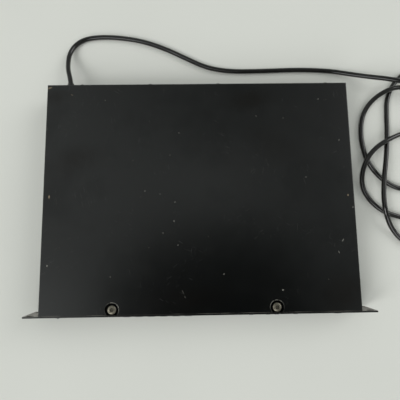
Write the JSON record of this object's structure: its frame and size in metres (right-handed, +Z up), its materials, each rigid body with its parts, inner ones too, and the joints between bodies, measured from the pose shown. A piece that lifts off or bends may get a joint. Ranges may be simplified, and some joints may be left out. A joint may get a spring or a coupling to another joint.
{
  "type": "rack effects unit",
  "caption": "One-unit 19-inch rack effects unit: black steel case with slotted ears, front buttons, knobs and rocker, rear sockets and a captive mains lead.",
  "frame": {"origin": "on the surface it stands on, under the middle of the unit without its mains lead", "axes": "+X to the right seen from the front, +Y to the rear, +Z up"},
  "size_m": [0.7145, 0.4389, 0.0471],
  "materials": {
    "black_case_paint": "satin black enamel on steel, worn at the edges",
    "black_panel_paint": "satin black on aluminium",
    "yellow_zinc": "worn yellow-zinc plate on steel",
    "black_screws": "black oxide",
    "zinc_screws": "bright zinc",
    "foot_rubber": "matt black",
    "switch_plastic": "black moulding",
    "button_plastic": "dark grey moulding",
    "knob_plastic": "black moulding",
    "lamp_plastic": "clear red",
    "window_plastic": "dark red tint",
    "display_plastic": "grey",
    "shaft_metal": "turned",
    "nickel": "nickel plate",
    "circuit_board": "green solder mask",
    "chip_plastic": "black epoxy",
    "capacitor_sleeve": "dark blue sleeve",
    "heatsink_aluminium": "black anodised",
    "core_steel": "varnished laminations",
    "winding_tape": "yellow tape",
    "bracket_steel": "zinc plate",
    "fuse_glass": "glass with nickel ends",
    "wire_insulation": "grey and brown PVC",
    "lead_pvc": "black PVC",
    "pin_brass": "bright"
  },
  "bodies": {
    "unit": {"chassis_tray": "black_case_paint", "top_cover": "black_case_paint", "rear_panel": "black_case_paint", "front_panel": "black_panel_paint", "cover_front_screws": "yellow_zinc", "cover_side_screws": "black_screws", "cover_rear_screws": "black_screws", "front_panel_screws": "black_screws", "rear_panel_screws": "zinc_screws", "foot_screws": "zinc_screws", "board_screws": "zinc_screws", "front_board_screws": "zinc_screws", "transformer_screws": "zinc_screws", "board_standoffs": "zinc_screws", "front_board_spacers": "zinc_screws", "rubber_feet": "foot_rubber", "power_switch_body": "switch_plastic", "level_switch_body": "switch_plastic", "button_switches": "switch_plastic", "data_sockets": "switch_plastic", "jack_bodies": "switch_plastic", "fuse_holder": "switch_plastic", "pot_bodies": "switch_plastic", "indicator_lamps": "lamp_plastic", "display_window": "window_plastic", "display_module": "display_plastic", "jack_nuts": "nickel", "front_board": "circuit_board", "main_board": "circuit_board", "logic_chips": "chip_plastic", "regulators": "chip_plastic", "capacitors": "capacitor_sleeve", "heatsink": "heatsink_aluminium", "transformer_core": "core_steel", "transformer_winding": "winding_tape", "transformer_bracket": "bracket_steel", "fuse": "fuse_glass", "mains_wires": "wire_insulation", "ribbon_cable": "wire_insulation", "power_cord": "lead_pvc", "plug_body": "lead_pvc", "strain_relief": "lead_pvc", "plug_pins": "pin_brass"},
    "power_rocker": {"power_rocker": "switch_plastic"},
    "input_knob": {"input_knob": "knob_plastic", "input_pot_shaft": "shaft_metal"},
    "output_knob": {"output_knob": "knob_plastic", "output_pot_shaft": "shaft_metal"},
    "level_switch_lever": {"level_switch_lever": "switch_plastic"},
    "fuse_cap": {"fuse_cap": "switch_plastic"},
    "function_button_1": {"function_button_1": "button_plastic"},
    "function_button_2": {"function_button_2": "button_plastic"},
    "function_button_3": {"function_button_3": "button_plastic"},
    "function_button_4": {"function_button_4": "button_plastic"},
    "function_button_5": {"function_button_5": "button_plastic"},
    "function_button_6": {"function_button_6": "button_plastic"},
    "edit_button_1": {"edit_button_1": "button_plastic"},
    "edit_button_2": {"edit_button_2": "button_plastic"},
    "edit_button_3": {"edit_button_3": "button_plastic"},
    "edit_button_4": {"edit_button_4": "button_plastic"}
  },
  "joints": [
    {"name": "power_rocker_tilt", "type": "hinge", "parent": "unit", "child": "power_rocker", "pos_m": [-0.1925, -0.1655, 0.02525], "axis": [0, 0, -1], "range_deg": [0, 20]},
    {"name": "input_knob_turn", "type": "hinge", "parent": "unit", "child": "input_knob", "pos_m": [-0.1655, -0.1655, 0.02525], "axis": [0, 1, 0], "range_deg": [-150, 150]},
    {"name": "output_knob_turn", "type": "hinge", "parent": "unit", "child": "output_knob", "pos_m": [0.1905, -0.1655, 0.02525], "axis": [0, 1, 0], "range_deg": [-150, 150]},
    {"name": "level_switch_slide", "type": "slide", "parent": "unit", "child": "level_switch_lever", "axis": [1, 0, 0], "range_m": [0, 0.004]},
    {"name": "fuse_cap_turn", "type": "hinge", "parent": "unit", "child": "fuse_cap", "pos_m": [-0.15, 0.164, 0.02525], "axis": [0, 1, 0], "range_deg": [0, 90]},
    {"name": "function_button_1_press", "type": "slide", "parent": "unit", "child": "function_button_1", "axis": [0, 1, 0], "range_m": [0, 0.0008], "stiffness_N_per_m": 600, "springref_m": -0.002},
    {"name": "function_button_2_press", "type": "slide", "parent": "unit", "child": "function_button_2", "axis": [0, 1, 0], "range_m": [0, 0.0008], "stiffness_N_per_m": 600, "springref_m": -0.002},
    {"name": "function_button_3_press", "type": "slide", "parent": "unit", "child": "function_button_3", "axis": [0, 1, 0], "range_m": [0, 0.0008], "stiffness_N_per_m": 600, "springref_m": -0.002},
    {"name": "function_button_4_press", "type": "slide", "parent": "unit", "child": "function_button_4", "axis": [0, 1, 0], "range_m": [0, 0.0008], "stiffness_N_per_m": 600, "springref_m": -0.002},
    {"name": "function_button_5_press", "type": "slide", "parent": "unit", "child": "function_button_5", "axis": [0, 1, 0], "range_m": [0, 0.0008], "stiffness_N_per_m": 600, "springref_m": -0.002},
    {"name": "function_button_6_press", "type": "slide", "parent": "unit", "child": "function_button_6", "axis": [0, 1, 0], "range_m": [0, 0.0008], "stiffness_N_per_m": 600, "springref_m": -0.002},
    {"name": "edit_button_1_press", "type": "slide", "parent": "unit", "child": "edit_button_1", "axis": [0, 1, 0], "range_m": [0, 0.0008], "stiffness_N_per_m": 600, "springref_m": -0.002},
    {"name": "edit_button_2_press", "type": "slide", "parent": "unit", "child": "edit_button_2", "axis": [0, 1, 0], "range_m": [0, 0.0008], "stiffness_N_per_m": 600, "springref_m": -0.002},
    {"name": "edit_button_3_press", "type": "slide", "parent": "unit", "child": "edit_button_3", "axis": [0, 1, 0], "range_m": [0, 0.0008], "stiffness_N_per_m": 600, "springref_m": -0.002},
    {"name": "edit_button_4_press", "type": "slide", "parent": "unit", "child": "edit_button_4", "axis": [0, 1, 0], "range_m": [0, 0.0008], "stiffness_N_per_m": 600, "springref_m": -0.002}
  ]
}
